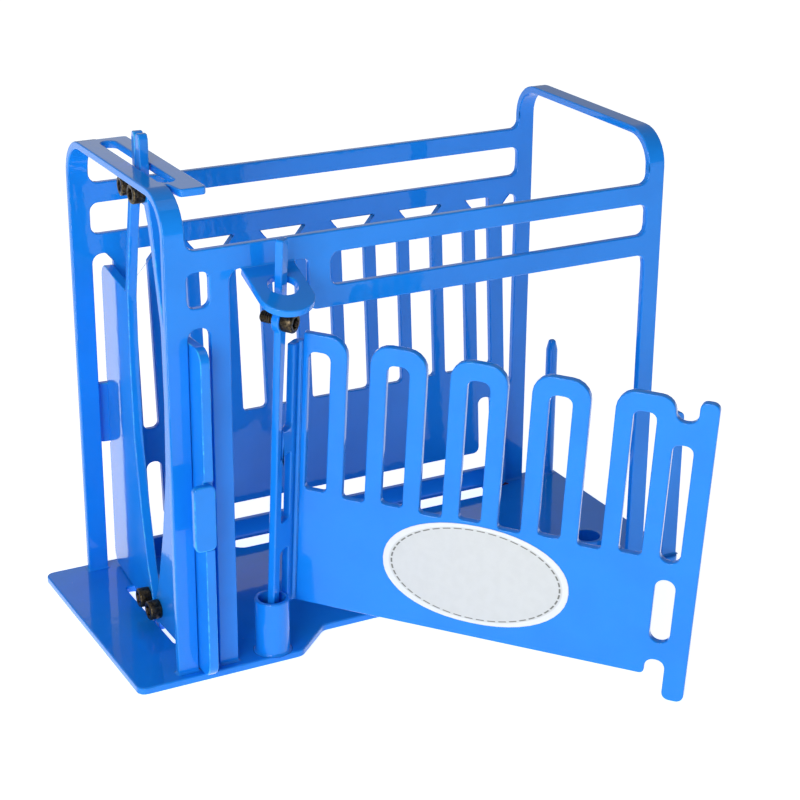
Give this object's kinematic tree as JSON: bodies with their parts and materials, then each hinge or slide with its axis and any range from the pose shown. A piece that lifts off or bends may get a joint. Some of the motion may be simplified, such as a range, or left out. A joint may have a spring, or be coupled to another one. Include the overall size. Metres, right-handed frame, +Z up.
{
  "type": "model cattle squeeze chute",
  "caption": "Small scale-model cattle squeeze chute in blue painted sheet steel, with a sliding head gate, a leaning slotted squeeze panel and a slotted swinging side door.",
  "frame": {"origin": "centre of the base plate's underside", "axes": "+X from the head gate towards the tail, +Y away from the side door, +Z up"},
  "size_m": [0.2176, 0.1908, 0.1781],
  "materials": {
    "blue_paint": "gloss",
    "black_oxide": "satin black oxide",
    "label": "satin"
  },
  "bodies": {
    "frame": {"base_plate": "blue_paint", "near_side_panel": "blue_paint", "far_side_panel": "blue_paint", "squeeze_comb": "blue_paint", "head_bridge": "blue_paint", "tail_arch": "blue_paint", "ring_bracket": "blue_paint", "pivot_cup": "blue_paint", "tail_cup": "blue_paint", "tail_rod": "blue_paint", "tail_stop": "blue_paint"},
    "door": {"side_door": "blue_paint", "door_bend": "blue_paint", "door_pivot_bar": "blue_paint", "door_screw": "black_oxide", "door_label": "label"},
    "near_gate": {"near_shutter": "blue_paint", "near_shutter_tab": "blue_paint", "near_top_screw": "black_oxide", "near_foot_screw": "black_oxide"},
    "far_gate": {"far_shutter": "blue_paint", "far_shutter_tab": "blue_paint", "far_top_screw": "black_oxide", "far_foot_screw": "black_oxide"}
  },
  "joints": [
    {"name": "door_hinge", "type": "hinge", "parent": "frame", "child": "door", "pos_m": [-0.05787, -0.04245, 0.01262], "axis": [0, -0.0863, 0.9963], "range_deg": [0, 41]},
    {"name": "near_gate_slide", "type": "slide", "parent": "frame", "child": "near_gate", "axis": [0, -1, 0], "range_m": [0, 0.0148]},
    {"name": "far_gate_slide", "type": "slide", "parent": "frame", "child": "far_gate", "axis": [0, 1, 0], "range_m": [0, 0.0215]}
  ]
}
